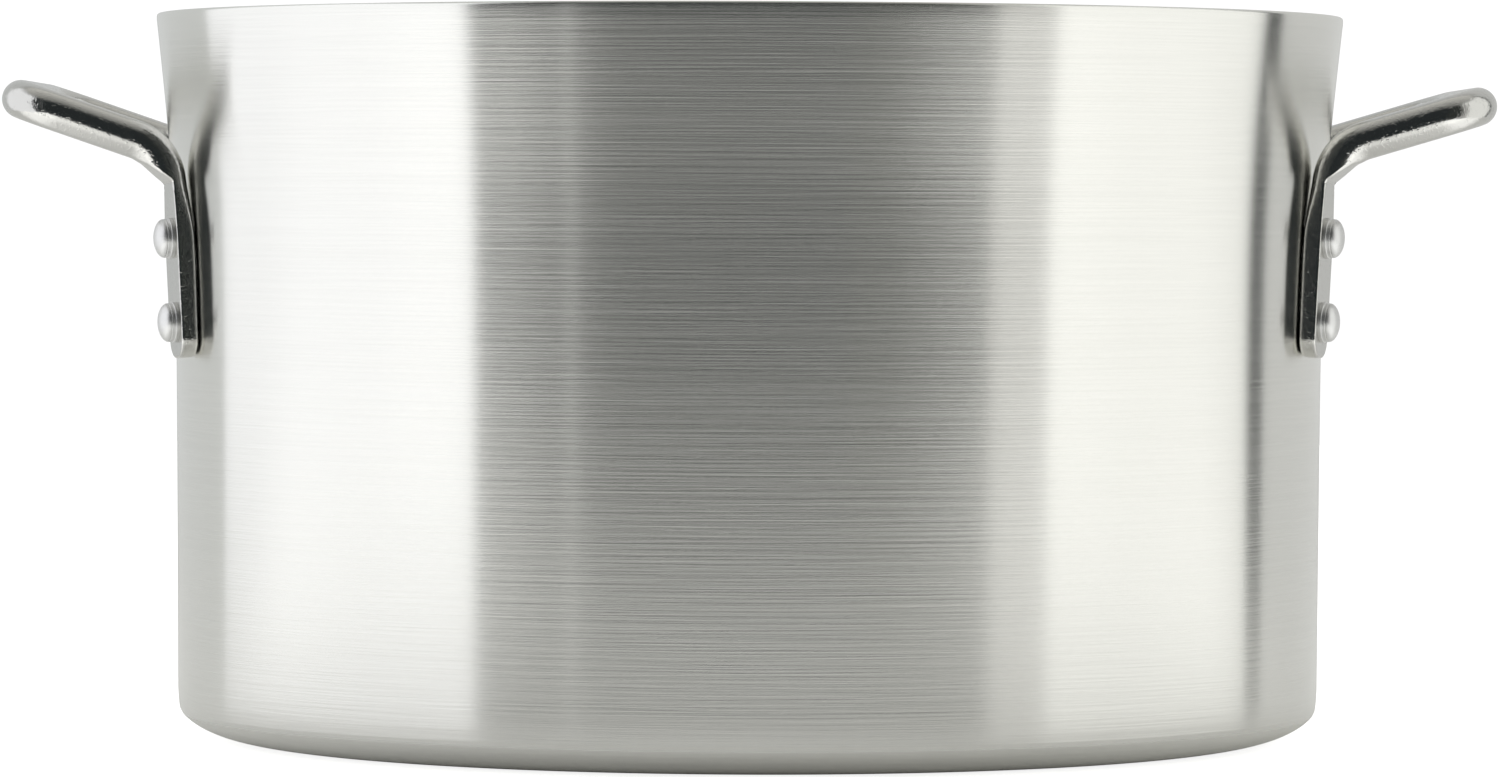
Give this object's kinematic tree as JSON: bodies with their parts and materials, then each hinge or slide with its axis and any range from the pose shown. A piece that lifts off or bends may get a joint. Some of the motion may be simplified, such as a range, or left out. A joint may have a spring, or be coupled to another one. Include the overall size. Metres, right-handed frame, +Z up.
{
  "type": "stock pot",
  "caption": "Wide straight-sided aluminium stock pot with a slightly flared rim and two riveted bent-rod loop handles.",
  "frame": {"origin": "centre of the underside of the base, where the pot stands", "axes": "+X towards the right-hand handle, +Z up through the mouth, -Y towards the front"},
  "size_m": [0.496, 0.3996, 0.2435],
  "materials": {
    "body": "lathe-turned satin, fine lines running round the pot",
    "handle": "bright plated steel with fine pits",
    "rivet": "smooth satin"
  },
  "bodies": {
    "root": {"pot_body": "body", "handle_right": "handle", "handle_left": "handle", "rivet_right_front_upper": "rivet", "rivet_right_front_lower": "rivet", "rivet_right_back_upper": "rivet", "rivet_right_back_lower": "rivet", "rivet_left_front_upper": "rivet", "rivet_left_front_lower": "rivet", "rivet_left_back_upper": "rivet", "rivet_left_back_lower": "rivet"}
  },
  "joints": []
}
